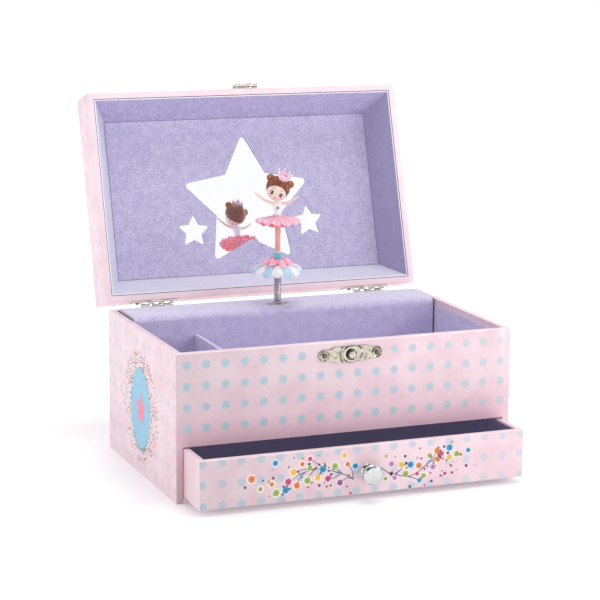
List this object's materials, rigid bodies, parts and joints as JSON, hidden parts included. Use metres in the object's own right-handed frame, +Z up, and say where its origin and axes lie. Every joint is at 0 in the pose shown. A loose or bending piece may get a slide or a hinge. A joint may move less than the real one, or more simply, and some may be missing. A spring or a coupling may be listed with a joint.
{
  "type": "musical jewellery box",
  "caption": "Papered jewellery box with a divided tray, a front drawer, a mirrored hinged lid and a small dancer on a spring, turned by a wind-up movement.",
  "frame": {"origin": "middle of the box's footprint, on the surface it stands on", "axes": "+Z up, the drawer opens towards -Y, +X to the right seen from the front"},
  "size_m": [0.2, 0.225, 0.2096],
  "materials": {
    "printed_board": "satin printed paper over board, pale pink with blue dots",
    "plain_board": "satin paper over board",
    "lilac_flock": "short lilac flock on card",
    "drawer_paper": "matte dark plum paper",
    "mirror": "clear plastic mirror",
    "nickel": "bright nickel plate",
    "knob_metal": "bright plated facets",
    "steel": "bright steel",
    "dark_steel": "dull spring steel",
    "brass": "plain brass",
    "white_nylon": "white nylon",
    "figure_white": "painted plastic",
    "figure_skin": "painted plastic",
    "figure_pink": "painted plastic"
  },
  "bodies": {
    "box": {"base_board": "plain_board", "back_wall": "printed_board", "left_wall": "printed_board", "right_wall": "printed_board", "front_panel": "printed_board", "shelf_board": "plain_board", "floor_lining": "lilac_flock", "wall_lining": "lilac_flock", "movement_cover": "lilac_flock", "divider": "lilac_flock", "spindle_flange": "dark_steel", "latch_plate": "nickel", "latch_stud": "nickel", "box_nails": "nickel", "hinge_left_box_leaf": "nickel", "hinge_right_box_leaf": "nickel", "hinge_pins": "nickel", "movement_plate": "brass", "movement_screws": "nickel", "comb": "steel", "comb_screws": "steel", "barrel_bridge": "brass", "shaft_bracket": "brass", "governor_housing": "white_nylon"},
    "lid": {"lid_top": "printed_board", "lid_front_rail": "printed_board", "lid_back_rail": "printed_board", "lid_left_rail": "printed_board", "lid_right_rail": "printed_board", "lid_ceiling_lining": "lilac_flock", "lid_slope_lining": "lilac_flock", "star_mirror": "mirror", "hinge_left_lid_leaf": "nickel", "hinge_right_lid_leaf": "nickel", "lid_nails": "nickel", "hasp_leaf": "nickel", "hasp_pin": "nickel"},
    "hasp": {"hasp_tongue": "nickel"},
    "drawer": {"drawer_front": "printed_board", "drawer_left_side": "printed_board", "drawer_right_side": "printed_board", "drawer_back": "printed_board", "drawer_bottom": "plain_board", "drawer_lining": "drawer_paper", "drawer_knob": "knob_metal", "knob_screw": "nickel"},
    "winder": {"winding_key": "brass", "winding_arbor": "steel"},
    "barrel": {"spring_barrel": "brass", "mainspring": "steel"},
    "cylinder": {"pinned_cylinder": "brass", "cylinder_shaft": "steel"},
    "governor": {"governor_wheel": "white_nylon"},
    "fly": {"governor_fly": "white_nylon"},
    "stop": {"stop_wire": "steel"},
    "turning_spindle": {"spindle": "steel"},
    "bending_spring": {"spring": "dark_steel"},
    "dancer_figure": {"flower_base": "figure_white", "dancer": "figure_skin", "tutu": "figure_pink"}
  },
  "joints": [
    {"name": "lid_hinge", "type": "hinge", "parent": "box", "child": "lid", "pos_m": [0, 0.0662, 0.0832], "axis": [-1, 0, 0], "range_deg": [-107, 0]},
    {"name": "hasp_swing", "type": "hinge", "parent": "lid", "child": "hasp", "pos_m": [0.001, 0.10615, 0.20839], "axis": [1, 0, 0], "range_deg": [0, 180]},
    {"name": "drawer_slide", "type": "slide", "parent": "box", "child": "drawer", "axis": [0, -1, 0], "range_m": [-0.0264, 0.06]},
    {"name": "dancer_fold", "type": "hinge", "parent": "box", "child": "bending_spring", "pos_m": [-0.002, 0.041, 0.0874], "axis": [1, 0, 0], "range_deg": [0, 90]},
    {"name": "dancer_spin", "type": "hinge", "parent": "bending_spring", "child": "dancer_figure", "pos_m": [-0.002, 0.041, 0.1043], "axis": [0, 0, 1], "continuous": true},
    {"name": "spindle_turn", "type": "hinge", "parent": "box", "child": "turning_spindle", "pos_m": [-0.002, 0.041, 0.07], "axis": [0, 0, 1], "continuous": true},
    {"name": "cylinder_turn", "type": "hinge", "parent": "box", "child": "cylinder", "pos_m": [-0.018, 0.041, 0.058], "axis": [1, 0, 0], "continuous": true},
    {"name": "barrel_turn", "type": "hinge", "parent": "box", "child": "barrel", "pos_m": [-0.038, 0.05, 0.058], "axis": [0, 1, 0], "continuous": true},
    {"name": "key_turn", "type": "hinge", "parent": "box", "child": "winder", "pos_m": [-0.038, 0.06, 0.058], "axis": [0, 1, 0], "continuous": true},
    {"name": "governor_turn", "type": "hinge", "parent": "box", "child": "governor", "pos_m": [0.012, 0.041, 0.046], "axis": [1, 0, 0], "continuous": true},
    {"name": "fly_turn", "type": "hinge", "parent": "box", "child": "fly", "pos_m": [0.016, 0.041, 0.0529], "axis": [0, 1, 0], "continuous": true},
    {"name": "stop_drop", "type": "slide", "parent": "box", "child": "stop", "axis": [0, 0, -1], "range_m": [0, 0.0011]}
  ],
  "couplings": [
    {"joint": "dancer_fold", "follows": "lid_hinge", "ratio": -0.8411},
    {"joint": "stop_drop", "follows": "lid_hinge", "m_per_rad": -0.000589},
    {"joint": "spindle_turn", "follows": "cylinder_turn", "ratio": 0.75},
    {"joint": "dancer_spin", "follows": "cylinder_turn", "ratio": 0.75},
    {"joint": "barrel_turn", "follows": "cylinder_turn", "ratio": -0.5},
    {"joint": "governor_turn", "follows": "cylinder_turn", "ratio": -3},
    {"joint": "fly_turn", "follows": "cylinder_turn", "ratio": 72}
  ]
}
